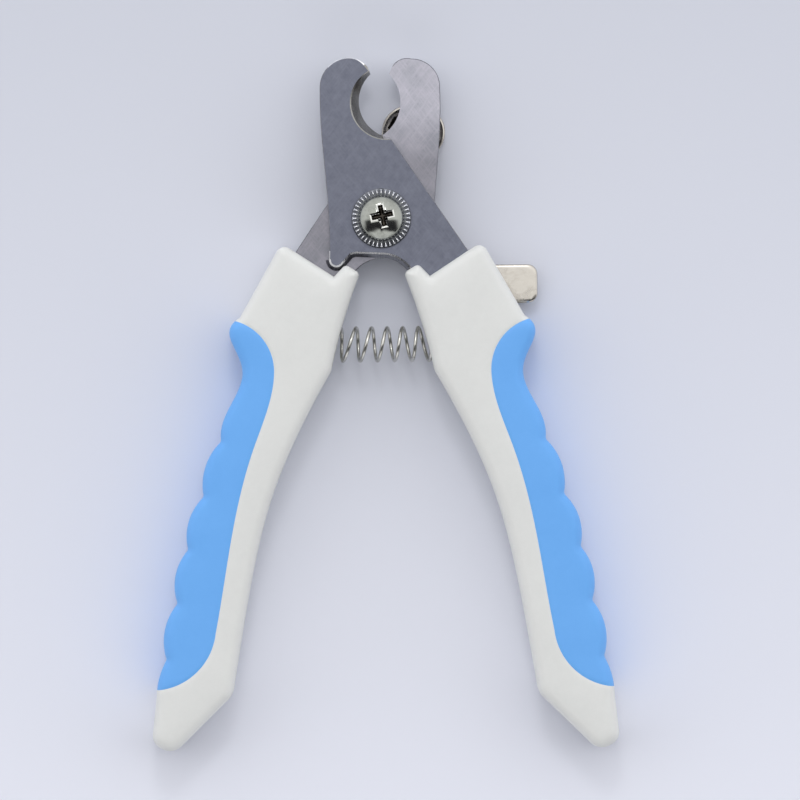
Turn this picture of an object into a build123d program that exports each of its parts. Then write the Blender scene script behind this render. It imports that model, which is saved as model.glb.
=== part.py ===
from build123d import *
import os
from math import cos, hypot, pi, radians, sin

# Plier-type pet nail trimmer, lying on the flat backs of its handles with its jaws along +Y.
# The origin is on the pivot axis, at the plane where the two blades slide on each other.
# The right handle holds the front blade and the left handle the rear blade. The handle and
# its grip are drawn on the right and mirrored, and the rear blade is a front blade turned over.

# ---- driving dimensions, mm ----
blade_thickness = 2.45
blade_gap = 0.05                  # from the sliding plane to each blade
bush_radius = 3.5
running_clearance = 0.05          # radial, blade on bush and guard on screw
screw_radius = 2.5                # M5
screw_head_radius = 4.9
screw_head_height = 3.1
screw_rim_height = 1.0
recess_span = 4.8                 # cross recess, tip to tip
recess_width = 1.1
recess_depth = 1.9
recess_turn = 12                  # of the cross, degrees
serrated_radius = 6.5
serrated_inner = 5.05             # where the teeth start, just outside the screw head
serrated_thickness = 0.65
tooth_count = 40
tooth_height = 0.4
washer_radius = 5.0
spring_washer_stock = 0.3
spring_washer_rise = 0.2
plain_washer_thickness = 0.5
face_gap = 0.05                   # between the guard's hub and the washers beside it
nut_across_flats = 8.0
nut_thickness = 2.7

guard_stock = 1.2
guard_hub_radius = 7.0
guard_arm_width = 7.0
guard_arm_angle = 69.3            # of the stop arm, from +X
guard_reach = 20.3                # pivot to the middle of the stop plate
guard_joggle = 1.8                # how far the stop plate is set back from the arm
stop_plate_length = 13.9          # along X
stop_plate_width = 11.8

handle_thickness = 15.5
handle_edge_round = 2.0
relief_front = -2.7               # the right handle's back is cut away up to this level
grip_skin = 2.6                   # soft grip outside the rib in the middle of its thickness
rib_thickness = 7.0
scallop_rise = 1.65

spring_wire = 0.75
spring_radius = 3.62              # to the middle of the wire
spring_turns = 7
spring_y = -27.5
pocket_radius = 5.0
pocket_depth = 4.5
pocket_slope = 17.5               # of the handle's inner wall at the spring, degrees

# ---- levels on the pivot axis, from the front down to the back ----
blade_front = blade_gap + blade_thickness
blade_back = -blade_front
head_seat = blade_front + serrated_thickness
spring_washer_front = blade_back - face_gap
guard_front = spring_washer_front - spring_washer_stock - spring_washer_rise - face_gap
guard_back = guard_front - guard_stock
plain_washer_front = guard_back - face_gap
nut_front = plain_washer_front - plain_washer_thickness
nut_back = nut_front - nut_thickness
handle_back = -handle_thickness / 2


def corner(sketch, x, y):
    """The sketch's vertex nearest to a point, to round it."""
    return sketch.vertices().sort_by_distance((x, y, 0))[0]


# ---- the blades: one outline, with a different jaw front and rear ----
jaw_corner = (2.0, 17.64)         # where the notch meets the straight right edge
heel_left = (-11.45, -8.75)
heel_low = (-10.25, -10.6)
heel_right = (-8.75, -10.15)


def blade(side, top, tip, waist_y, notch_edge, notch_face, bore):
    """A blade in the front layer. side, top and tip are the jaw's widest point, its highest
    and the nose of its hook, and waist_y is the edge below the pivot. notch_edge and
    notch_face are the (x, y, radius) of the notch at the sliding plane and at the other
    face, so that the bevel between them is a slanted cone."""
    with BuildPart() as plate:
        with BuildSketch(Plane.XY.offset(blade_gap)):
            with BuildLine():
                Spline(heel_left, (-11.65, 3.0), (-12.65, 15.0), side)
                ThreePointArc(side, (side[0] + 2.0, side[1] + 4.95), top)
                ThreePointArc(top, (0.5 * (top[0] + tip[0]) + 0.55, tip[1] + 1.5), tip)
                nose = (tip[0] + 0.6, tip[1] - 1.4)
                Polyline(tip, nose, jaw_corner, (20.5, -9.66), (21.9, -17.5), (22.1, -30.0),
                         (24.3, -40.5))
                ThreePointArc((24.3, -40.5), (22.8, -42.6), (20.5, -41.9))
                Polyline((20.5, -41.9), (18.0, -34.0), (16.2, -24.0), (12.6, -17.6),
                         (6.35, waist_y - 3.7))
                ThreePointArc((6.35, waist_y - 3.7), (4.0, waist_y - 1.45), (0.8, waist_y - 0.3))
                Polyline((0.8, waist_y - 0.3), (-5.6, waist_y), (-6.7, waist_y - 0.25), heel_right)
                ThreePointArc(heel_right, heel_low, heel_left)
            make_face()
            Circle(bore, mode=Mode.SUBTRACT)
            with Locations((19.2, -23.0), (20.9, -34.5)):
                Circle(1.5, mode=Mode.SUBTRACT)
        extrude(amount=blade_thickness)
        for share in (-0.2, 1.2):
            x, y, radius = (a + share * (b - a) for a, b in zip(notch_edge, notch_face))
            with BuildSketch(Plane.XY.offset(blade_gap + share * blade_thickness)):
                with Locations((x, y)):
                    Circle(radius)
        loft(mode=Mode.SUBTRACT)
    return plate.part


with BuildPart() as front_blade:
    add(blade((-13.2, 28.3), (-7.5, 35.05), (-2.75, 33.0), -7.65,
              (3.35, 25.57, 8.06), (1.4, 25.1, 7.9), bush_radius))
front_blade.part.label = "front_blade"

with BuildPart() as rear_blade:
    add(blade((-13.05, 28.3), (-6.9, 34.85), (-2.6, 33.1), -8.45,
              (4.3, 25.5, 8.7), (2.9, 25.2, 8.6), bush_radius + running_clearance),
        rotation=(0, 180, 0))
rear_blade.part.label = "rear_blade"

# ---- the pivot stack ----
with BuildPart() as pivot_bush:
    with BuildSketch(Plane.XY.offset(blade_back)):
        Circle(bush_radius)
        Circle(screw_radius + running_clearance, mode=Mode.SUBTRACT)
    extrude(amount=blade_front - blade_back)
pivot_bush.part.label = "pivot_bush"

with BuildPart() as tooth:
    with BuildSketch(Plane.YZ.offset(serrated_inner)):
        half_base = 0.8 * pi * serrated_radius / tooth_count
        with BuildLine():
            Polyline((-half_base, head_seat - 0.1), (half_base, head_seat - 0.1),
                     (0, head_seat + tooth_height), close=True)
        make_face()
    extrude(amount=serrated_radius - serrated_inner - 0.15)

with BuildPart() as serrated_washer:
    with BuildSketch(Plane.XY.offset(blade_front)):
        Circle(serrated_radius)
        Circle(screw_radius + running_clearance, mode=Mode.SUBTRACT)
    extrude(amount=serrated_thickness)
    with PolarLocations(0, tooth_count):
        add(tooth.part)
serrated_washer.part.label = "serrated_washer"

with BuildPart() as pivot_screw:
    head_top = head_seat + screw_head_height
    with BuildSketch(Plane.XZ):
        with BuildLine():
            Polyline((0, head_top), (0, nut_back), (screw_radius, nut_back),
                     (screw_radius, head_seat), (screw_head_radius, head_seat),
                     (screw_head_radius, head_seat + screw_rim_height))
            ThreePointArc((screw_head_radius, head_seat + screw_rim_height),
                          (0.66 * screw_head_radius, head_top - 0.55), (0, head_top))
        make_face()
    revolve(axis=Axis.Z)
    for turn in (radians(recess_turn), radians(recess_turn + 90)):
        with BuildSketch(Plane(origin=(0, 0, 0), x_dir=(cos(turn), sin(turn), 0),
                               z_dir=(sin(turn), -cos(turn), 0))):
            with BuildLine():
                half, floor = recess_span / 2, head_top - recess_depth
                Polyline((-half, head_top + 0.1), (half, head_top + 0.1), (0.45 * half, floor),
                         (-0.45 * half, floor), close=True)
            make_face()
        extrude(amount=recess_width / 2, both=True, mode=Mode.SUBTRACT)
pivot_screw.part.label = "pivot_screw"

with BuildPart() as spring_washer:
    with BuildSketch(Plane.XZ):
        with BuildLine():
            inner = screw_radius + 2 * running_clearance
            Polyline((inner, spring_washer_front - spring_washer_rise),
                     (washer_radius, spring_washer_front),
                     (washer_radius, spring_washer_front - spring_washer_stock),
                     (inner, spring_washer_front - spring_washer_rise - spring_washer_stock),
                     close=True)
        make_face()
    revolve(axis=Axis.Z)
spring_washer.part.label = "spring_washer"

with BuildPart() as plain_washer:
    with BuildSketch(Plane.XY.offset(nut_front)):
        Circle(washer_radius)
        Circle(screw_radius + 2 * running_clearance, mode=Mode.SUBTRACT)
    extrude(amount=plain_washer_thickness)
plain_washer.part.label = "plain_washer"

with BuildPart() as pivot_nut:
    with BuildSketch(Plane.XY.offset(nut_back)):
        RegularPolygon(nut_across_flats / 2, 6, major_radius=False)
        Circle(screw_radius, mode=Mode.SUBTRACT)
    extrude(amount=nut_thickness)
pivot_nut.part.label = "pivot_nut"

# ---- the guard: hub, thumb tab and joggled stop plate, stamped from one sheet ----
tab_right, tab_top, tab_bottom = 34.05, -10.2, -18.7
stop_plane = Plane(
    origin=(0, 0, 0),
    x_dir=(cos(radians(guard_arm_angle)), sin(radians(guard_arm_angle)), 0),
    z_dir=(sin(radians(guard_arm_angle)), -cos(radians(guard_arm_angle)), 0),
)
with BuildPart() as guard_lever:
    with BuildSketch(Plane.XY.offset(guard_back)) as flat:
        with BuildLine():
            Polyline((2.0, 3.8), (24.0, tab_top), (tab_right, tab_top), (tab_right, tab_bottom),
                     (27.5, tab_bottom), (21.0, -15.0), (-2.0, -3.8), close=True)
        make_face()
        fillet([corner(flat, tab_right, tab_top), corner(flat, tab_right, tab_bottom)], 2.2)
        Circle(guard_hub_radius)
        Circle(screw_radius + running_clearance, mode=Mode.SUBTRACT)
    extrude(amount=guard_stock)
    with BuildSketch(stop_plane):
        with BuildLine():
            Polyline((5.0, guard_front), (11.0, guard_front),
                     (13.5, guard_front - guard_joggle), (18.0, guard_front - guard_joggle),
                     (18.0, guard_back - guard_joggle), (13.0, guard_back - guard_joggle),
                     (10.5, guard_back), (5.0, guard_back), close=True)
        make_face()
    extrude(amount=guard_arm_width / 2, both=True)
    with BuildSketch(Plane.XY.offset(guard_back - guard_joggle)):
        with PolarLocations(guard_reach, 1, start_angle=guard_arm_angle):
            SlotOverall(stop_plate_length, stop_plate_width, rotation=-guard_arm_angle)
    extrude(amount=guard_stock)
guard_lever.part.label = "guard_lever"

# ---- the right handle and its grip, as one moulded outline ----
lip_valley = (10.45, -12.75)      # the V where the handle's lip meets its inner lobe
lobe = (7.9, -10.1)
inner_top = (4.85, -12.0)
inner_wall = (8.4, -22.1)         # a point on the slightly hollow wall between them
inner_knee = (11.3, -33.3)
shoulder = (21.85, -5.33)
nose_top = (31.0, -21.48)
tail_inner = (33.35, -103.7)
tail_tip = (46.5, -116.6)
tail_outer = (50.95, -113.9)
grip_end = (49.85, -104.0)
valleys = [(35.3, -48.4), (39.2, -60.4), (42.7, -71.9), (45.1, -83.6), (47.6, -95.8)]

with BuildPart() as moulding:
    with BuildSketch(Plane.XY.offset(handle_back)) as outline:
        with BuildLine():
            ThreePointArc(inner_knee, inner_wall, inner_top)
            Polyline(inner_top, lobe, lip_valley, shoulder, nose_top)
            Spline(nose_top, (33.3, -25.0), (31.7, -29.3), (30.55, -33.4), (32.0, -38.3),
                   (34.6, -43.4), valleys[0])
            for (x0, y0), (x1, y1) in zip(valleys, valleys[1:]):
                length = hypot(x1 - x0, y1 - y0)
                crest = (0.5 * (x0 + x1) - scallop_rise * (y1 - y0) / length,
                         0.5 * (y0 + y1) + scallop_rise * (x1 - x0) / length)
                ThreePointArc((x0, y0), crest, (x1, y1))
            ThreePointArc(valleys[-1], (49.0, -98.9), grip_end)
            Polyline(grip_end, tail_outer, tail_tip, tail_inner, (32.8, -100.0))
            Spline((32.8, -100.0), (29.3, -80.0), (24.2, -60.0), (17.7, -45.0), inner_knee)
        make_face()
        for point, radius in [(inner_top, 1.0), (lobe, 1.1), (shoulder, 2.0), (inner_knee, 4.0),
                              (tail_inner, 4.0), (tail_tip, 3.6), (tail_outer, 3.0)]:
            fillet(corner(outline, *point), radius)
        for point in valleys:
            fillet(corner(outline, *point), 1.2)
    extrude(amount=handle_thickness)
    ends = moulding.faces().filter_by(Axis.Z)
    fillet(ends.edges(), handle_edge_round)

with BuildPart() as grip_zone:
    with BuildSketch(Plane.XY.offset(handle_back - 1)):
        with BuildLine():
            ThreePointArc((33.6, -21.9), (26.6, -25.5), (23.6, -33.0))
            Spline((23.6, -33.0), (28.2, -50.0), (33.3, -70.0), (36.8, -90.0),
                   tangents=[(0, -1), (0.2, -1)])
            ThreePointArc((36.8, -90.0), (40.3, -97.8), (51.0, -102.4))
            Polyline((51.0, -102.4), (60.0, -104.0), (60.0, -15.0), (33.6, -21.9))
        make_face()
    extrude(amount=handle_thickness + 2)

with BuildPart() as core_rib:
    with BuildSketch(Plane.XY.offset(-rib_thickness / 2)):
        inset = [(x - 0.96 * grip_skin, y - 0.3 * grip_skin) for x, y in valleys]
        with BuildLine():
            Spline((29.6, -26.0), (27.8, -33.3), *inset, (45.6, -99.3))
            Polyline((45.6, -99.3), (38.5, -99.0), (34.0, -90.0), (29.0, -70.0), (24.0, -50.0),
                     (20.5, -33.0), (25.0, -24.5), (29.6, -26.0))
        make_face()
    extrude(amount=rib_thickness)

with BuildPart() as plain_handle:
    add(moulding.part)
    add(grip_zone.part, mode=Mode.SUBTRACT)
    add(core_rib.part)
    pocket_mouth = Plane(
        origin=(9.35, spring_y - 0.6, 0),
        z_dir=(cos(radians(pocket_slope)), sin(radians(pocket_slope)), 0),
    )
    with BuildSketch(pocket_mouth):
        Circle(pocket_radius)
    extrude(amount=pocket_depth, mode=Mode.SUBTRACT)
    with BuildSketch(pocket_mouth):
        Circle(pocket_radius)
    extrude(amount=-2.0, mode=Mode.SUBTRACT)

with BuildPart() as right_handle:
    add(plain_handle.part)
    add(front_blade.part, mode=Mode.SUBTRACT)
    with BuildSketch(Plane.XY.offset(handle_back - 1)):
        with BuildLine():
            Polyline((3.0, -8.2), (19.0, -17.9), (25.2, -22.25), (40.0, -22.25), (40.0, 2.0),
                     (3.0, 2.0), close=True)
        make_face()
    extrude(amount=relief_front - handle_back + 1, mode=Mode.SUBTRACT)
right_handle.part.label = "right_handle"

with BuildPart() as left_handle:
    add(mirror(plain_handle.part, about=Plane.YZ))
    add(rear_blade.part, mode=Mode.SUBTRACT)
left_handle.part.label = "left_handle"

with BuildPart() as right_grip:
    add(moulding.part)
    add(grip_zone.part, mode=Mode.INTERSECT)
    add(core_rib.part, mode=Mode.SUBTRACT)
right_grip.part.label = "right_grip"

with BuildPart() as left_grip:
    add(mirror(right_grip.part, about=Plane.YZ))
left_grip.part.label = "left_grip"

# ---- the return spring, from pocket to pocket ----
spring_half = 12.5
with BuildPart() as return_spring:
    with BuildLine() as coil:
        Helix(pitch=2 * spring_half / spring_turns, height=2 * spring_half, radius=spring_radius,
              center=(-spring_half, spring_y, 0), direction=(1, 0, 0))
    with BuildSketch(Plane(origin=coil.line @ 0, z_dir=coil.line % 0)):
        Circle(spring_wire / 2)
    sweep(is_frenet=True)
return_spring.part.label = "return_spring"

os.makedirs("parts", exist_ok=True)
pieces = [
    front_blade, rear_blade, pivot_screw, serrated_washer, pivot_bush, spring_washer,
    guard_lever, plain_washer, pivot_nut, right_handle, left_handle, right_grip, left_grip,
    return_spring,
]
for piece in pieces:
    export_step(piece.part, f"parts/{piece.part.label}.step")
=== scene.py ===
from math import atan2, cos, pi, radians, sin, sqrt, tan

import bmesh
import bpy
import numpy as np
from mathutils import Matrix, Vector
from mathutils.geometry import delaunay_2d_cdt


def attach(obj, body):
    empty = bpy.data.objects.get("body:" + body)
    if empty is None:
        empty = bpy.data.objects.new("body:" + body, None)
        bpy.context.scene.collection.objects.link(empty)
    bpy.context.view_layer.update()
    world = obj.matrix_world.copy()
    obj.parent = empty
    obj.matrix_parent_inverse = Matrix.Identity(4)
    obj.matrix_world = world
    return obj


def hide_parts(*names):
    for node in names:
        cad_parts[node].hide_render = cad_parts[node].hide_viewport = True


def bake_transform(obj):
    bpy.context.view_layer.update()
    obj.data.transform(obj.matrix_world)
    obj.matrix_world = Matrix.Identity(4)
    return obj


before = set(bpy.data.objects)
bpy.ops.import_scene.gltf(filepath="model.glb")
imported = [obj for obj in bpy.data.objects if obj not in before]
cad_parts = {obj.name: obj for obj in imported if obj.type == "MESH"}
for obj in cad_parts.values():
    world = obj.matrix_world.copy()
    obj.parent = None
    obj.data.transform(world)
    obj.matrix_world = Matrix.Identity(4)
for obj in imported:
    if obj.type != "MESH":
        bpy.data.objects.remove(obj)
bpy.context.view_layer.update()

# Sizes below are in millimetres. X is to the right, Y along the jaws and Z up from the floor,
# from the pivot axis and the plane where the two blades slide on each other.

# ==== front blade ====
# A hooked plate of hardened stainless steel, blanked from 2.5 mm strip, ground and tumbled to
# a dark satin. The back rim of its notch is the cutting edge, under a slanted bevel, and its
# tang runs down inside the right handle.
MM = 0.001
BLADE_STOCK = 2.45
BLADE_GAP = 0.05  # from the sliding plane to each blade
EDGE_BREAK = 0.16  # chamfer left by tumbling
HEEL_BREAK = 0.4  # the wider chamfer under the heel
HEEL_TAPER = 0.7  # how far the sheared wall there leans out towards the back
TIP_BREAK = 0.4  # the wider chamfer on the nose of the hook
STROKE_LENGTH = 7.0  # of the grinder's marks
heel_left, heel_low, heel_right = (-11.45, -8.75), (-10.25, -10.6), (-8.75, -10.15)
jaw_corner = (2.0, 17.64)  # where the notch meets the straight right edge
tang_shoulder = (20.5, -9.66)  # where that edge goes into the handle
TANG_HOLES, TANG_HOLE = ((19.2, -23.0), (20.9, -34.5)), 1.5  # they key it in the moulding
BEVEL_REACH = 2.2  # how far outside the notch its bevel's faces may lie
WITHIN_EDGES = 1  # the triangles that delaunay_2d_cdt should keep
SAME_PLACE = 0.0001  # points closer than this are one
CREASE, PLATE_CREASE = 32, 11  # the angles past which a rim shows as one, in degrees


def linear(code):
    """An sRGB hex colour as the linear colour that the sockets take."""
    shares = [int(code[i:i + 2], 16) / 255 for i in (0, 2, 4)]
    return [v / 12.92 if v <= 0.04045 else ((v + 0.055) / 1.055) ** 2.4 for v in shares] + [1.0]


def add(tree, kind, inputs=None, **settings):
    """Adds a node with its settings. inputs gives its sockets a value, another node's output,
    or the node itself for its first output."""
    node = tree.nodes.new(kind)
    for name, value in settings.items():
        setattr(node, name, value)
    for name, value in (inputs or {}).items():
        if isinstance(value, bpy.types.Node):
            value = value.outputs[0]
        if isinstance(value, bpy.types.NodeSocket):
            tree.links.new(value, node.inputs[name])
        else:
            node.inputs[name].default_value = value
    return node


def new_finish(name):
    """An empty material, its node tree and the position on the piece, in metres."""
    finish = bpy.data.materials.new(name)
    finish.use_nodes = True
    finish.node_tree.nodes.clear()
    place = add(finish.node_tree, "ShaderNodeTexCoord").outputs["Object"]
    return finish, finish.node_tree, place


def skin(tree, colour, gloss, relief, **shader):
    """Ends a finish. gloss is (value, from, to, roughness there and there), and relief is
    (value, strength, height)."""
    keys = "Value", "From Min", "From Max", "To Min", "To Max"
    rough = add(tree, "ShaderNodeMapRange", dict(zip(keys, gloss)))
    bump = add(tree, "ShaderNodeBump", {
        "Height": relief[0], "Strength": relief[1], "Distance": relief[2] * MM})
    body = add(tree, "ShaderNodeBsdfPrincipled", {
        "Base Color": colour.outputs[2], "Roughness": rough, "Normal": bump, **shader})
    add(tree, "ShaderNodeOutputMaterial", {"Surface": body})


def ground_steel(name, dark, light, strokes, stroke_width, blotch, roughness, relief, painted_shade=None):
    """Stainless steel ground with strokes in the given directions, in degrees. The strokes
    shade it from dark to light and turn its gloss; blotch is the size of the slow cloudiness
    that tumbling leaves. painted_shade is (from, to, share): painted shade that mixes the
    colour towards black along -Y."""
    finish, tree, place = new_finish(name)
    marks = 0.0
    for turn in strokes:
        along = add(tree, "ShaderNodeMapping", {
            "Vector": place, "Rotation": (0, 0, radians(turn)),
            "Scale": (STROKE_LENGTH * MM, stroke_width * MM, STROKE_LENGTH * MM)},
            vector_type="TEXTURE")
        lines = add(tree, "ShaderNodeTexNoise", {
            "Vector": along, "Scale": 1.0, "Detail": 3.0, "Roughness": 0.6})
        marks = add(tree, "ShaderNodeMath", {0: marks, 1: lines}, operation="MAXIMUM")
    cloud = add(tree, "ShaderNodeTexNoise", {
        "Vector": place, "Scale": 1 / (blotch * MM), "Detail": 4.0, "Roughness": 0.65})
    both = add(tree, "ShaderNodeMath", {0: marks, 1: cloud}, operation="ADD")
    shade = add(tree, "ShaderNodeMapRange", {
        "Value": both, "From Min": 0.7, "From Max": 1.35})
    colour = add(tree, "ShaderNodeMix", {
        0: shade, 6: linear(dark), 7: linear(light)}, data_type="RGBA")
    # Painted shade: from the first level to the second along -Y, the colour is mixed towards black,
    # up to the share.
    if painted_shade:
        axes = add(tree, "ShaderNodeSeparateXYZ", {"Vector": place})
        shade_share = add(tree, "ShaderNodeMapRange", {
            "Value": axes.outputs["Y"], "From Min": painted_shade[0] * MM, "From Max": painted_shade[1] * MM,
            "To Max": painted_shade[2]})
        colour = add(tree, "ShaderNodeMix", {
            0: shade_share, 6: colour.outputs[2], 7: linear("000000")}, data_type="RGBA")
    skin(tree, colour, (marks, 0.3, 0.75, *roughness), (marks, 0.35, relief), Metallic=1.0)
    return finish


def curve_through(points, start=None, end=None, count=14):
    """Points along a smooth cubic through the given ones, count to a span. start and end are
    its directions at the ends, where they are held."""
    p = np.array(points, float)
    t = np.r_[0, np.cumsum(np.linalg.norm(np.diff(p, axis=0), axis=1))]
    h, n, reach = np.diff(t), len(p), min(4, len(p))
    slope = np.diff(p, axis=0) / h[:, None]
    system, known = np.eye(n), np.zeros((n, 2))
    for row, held, some in ((0, start, slice(0, reach)), (n - 1, end, slice(n - reach, n))):
        if held:
            known[row] = np.array(held) / np.linalg.norm(held)
        else:
            known[row] = np.polyfit(t[some] - t[row], p[some], reach - 1)[-2]
    for i in range(1, n - 1):
        system[i, i - 1:i + 2] = h[i], 2 * (h[i - 1] + h[i]), h[i - 1]
        known[i] = 3 * (h[i] * slope[i - 1] + h[i - 1] * slope[i])
    m = np.linalg.solve(system, known)
    made = []
    for i in range(n - 1):
        for s in np.arange(count) / count:
            made.append((1 + 2 * s) * (1 - s) ** 2 * p[i] + s * (1 - s) ** 2 * h[i] * m[i]
                        + s * s * (3 - 2 * s) * p[i + 1] + s * s * (s - 1) * h[i] * m[i + 1])
    return [*made, p[-1]]


def arc(centre, radius, turns):
    """Points on a circle, at the turns given in radians from X."""
    return np.array(centre) + radius * np.c_[np.cos(turns), np.sin(turns)]


def arc_through(a, via, b, count=14):
    """Points from a to b along the circle that passes through via."""
    (ax, ay), (vx, vy), (bx, by) = a, via, b
    d = 2 * (ax * (vy - by) + vx * (by - ay) + bx * (ay - vy))
    aa, vv, bb = ax * ax + ay * ay, vx * vx + vy * vy, bx * bx + by * by
    cx = (aa * (vy - by) + vv * (by - ay) + bb * (ay - vy)) / d
    cy = (aa * (bx - vx) + vv * (ax - bx) + bb * (vx - ax)) / d
    first, middle, last = (atan2(y - cy, x - cx) for x, y in (a, via, b))
    turn = (last - first) % (2 * pi)
    if (middle - first) % (2 * pi) > turn:
        turn -= 2 * pi
    radius = sqrt((ax - cx) ** 2 + (ay - cy) ** 2)
    return list(arc((cx, cy), radius, first + turn * np.linspace(0, 1, count)))


def circle(radius, count=64, centre=(0, 0)):
    return arc(centre, radius, np.linspace(0, 2 * pi, count, endpoint=False))


def inset(loop, amount):
    """A closed loop moved inwards, its corners mitred. amount may differ from point to point."""
    p = np.array(loop, float)
    ahead = np.roll(p, -1, 0) - p
    ahead /= np.linalg.norm(ahead, axis=1)[:, None]
    turned = np.sum(p[:, 0] * np.roll(p[:, 1], -1) - p[:, 1] * np.roll(p[:, 0], -1))
    normal = np.sign(turned) * np.c_[-ahead[:, 1], ahead[:, 0]]
    before = np.roll(normal, 1, 0)
    mitre = (normal + before) / np.maximum(1 + np.sum(normal * before, 1), 0.3)[:, None]
    return p + np.broadcast_to(amount, len(p))[:, None] * mitre


def inside(points, loops):
    """Which points lie inside an odd number of the loops."""
    odd = np.zeros(len(points), bool)
    x, y = points[:, 0], points[:, 1]
    for loop in loops:
        for (x0, y0), (x1, y1) in zip(loop, np.roll(loop, -1, 0)):
            if y0 != y1:
                odd ^= ((y0 > y) != (y1 > y)) & (x < (x1 - x0) * (y - y0) / (y1 - y0) + x0)
    return odd


def fill(loops, extra=()):
    """Triangles between the first loop and the holes in it, through the extra points. They
    number the loops' points in order, and then the extra ones."""
    points = [Vector(map(float, p)) for loop in loops for p in loop]
    points += [Vector(map(float, p)) for p in extra]
    edges, first = [], 0
    for loop in loops:
        n = len(loop)
        edges += [(first + i, first + (i + 1) % n) for i in range(n)]
        first += n
    places, _, triangles, origin, _, _ = delaunay_2d_cdt(points, edges, [], WITHIN_EDGES, 1e-5)
    number = np.array([min(o) for o in origin])
    triangles = np.array([tuple(t) for t in triangles])
    middles = np.array([tuple(p) for p in places])[triangles].mean(1)
    return number[triangles[~inside(middles, loops[1:])]]


def as_piece(name, mesh, crease):
    """The mesh as a piece: doubles merged, normals outward, smooth except at creases."""
    work = bmesh.new()
    work.from_mesh(mesh)
    bmesh.ops.delete(work, geom=[v for v in work.verts if not v.link_faces], context="VERTS")
    bmesh.ops.remove_doubles(work, verts=work.verts, dist=SAME_PLACE * MM)
    bmesh.ops.recalc_face_normals(work, faces=work.faces)
    work.to_mesh(mesh)
    work.free()
    mesh.polygons.foreach_set("use_smooth", [True] * len(mesh.polygons))
    mesh.set_sharp_from_angle(angle=radians(crease))
    piece = bpy.data.objects.new(name, mesh)
    bpy.context.scene.collection.objects.link(piece)
    return piece


def make_piece(name, points, faces, finishes, slots=None, crease=CREASE):
    """A piece from points and faces. slots says which of its finishes each face takes."""
    mesh = bpy.data.meshes.new(name)
    mesh.from_pydata((np.array(points) * MM).tolist(), [], [[int(i) for i in f] for f in faces])
    for finish in finishes:
        mesh.materials.append(finish)
    if slots is not None:
        mesh.polygons.foreach_set("material_index", slots)
    return as_piece(name, mesh, crease)


def plate(name, rims, holes, finishes):
    """A closed plate. rims are (loop, level) from one face to the other, with as many points
    in each, and each hole is such a list. Its flat faces take the first finish and its edges
    the second."""
    points, faces, walls = [], [], []
    ends = ([], [])
    for stack in (rims, *holes):
        n = len(stack[0][0])
        for k, (loop, level) in enumerate(stack):
            base = len(points)
            points += [(x, y, level) for x, y in loop]
            if k:
                walls += [(base + i, base + (i + 1) % n, base - n + (i + 1) % n, base - n + i)
                          for i in range(n)]
            if k in (0, len(stack) - 1):
                ends[k > 0].append((loop, np.arange(base, base + n)))
    for end in ends:
        numbers = np.concatenate([n for _, n in end])
        faces += list(numbers[fill([np.array(loop) for loop, _ in end])])
    slots = [0] * len(faces) + [1] * len(walls)
    return make_piece(name, points, faces + walls, finishes, slots, PLATE_CREASE)


def meet(a, b, centre, radius):
    """Where the line from a to b crosses a circle, in order."""
    a, b, centre = (np.array(p, float) for p in (a, b, centre))
    d, f = b - a, a - centre
    half, spare = (f @ d) / (d @ d), (f @ f - radius ** 2) / (d @ d)
    if half * half <= spare:
        return []
    root = sqrt(half * half - spare)
    return [a + t * d for t in (-half - root, -half + root) if 0 <= t <= 1]


def notched(path, x, y, radius, count=40):
    """The path's second point and then the arc that a circle cuts out of it."""
    met = [p for a, b in zip(path, path[1:]) for p in meet(a, b, (x, y), radius)]
    enter, leave = met[0], met[-1]
    knee = np.array(path[1], float)
    if np.linalg.norm(knee - (x, y)) < radius:
        knee = 0.5 * (np.array(path[0]) + enter)
    first = atan2(enter[1] - y, enter[0] - x)
    turn = (atan2(leave[1] - y, leave[0] - x) - first) % (2 * pi)
    return [knee, *arc((x, y), radius, first + turn * np.linspace(0, 1, count))]


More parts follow.
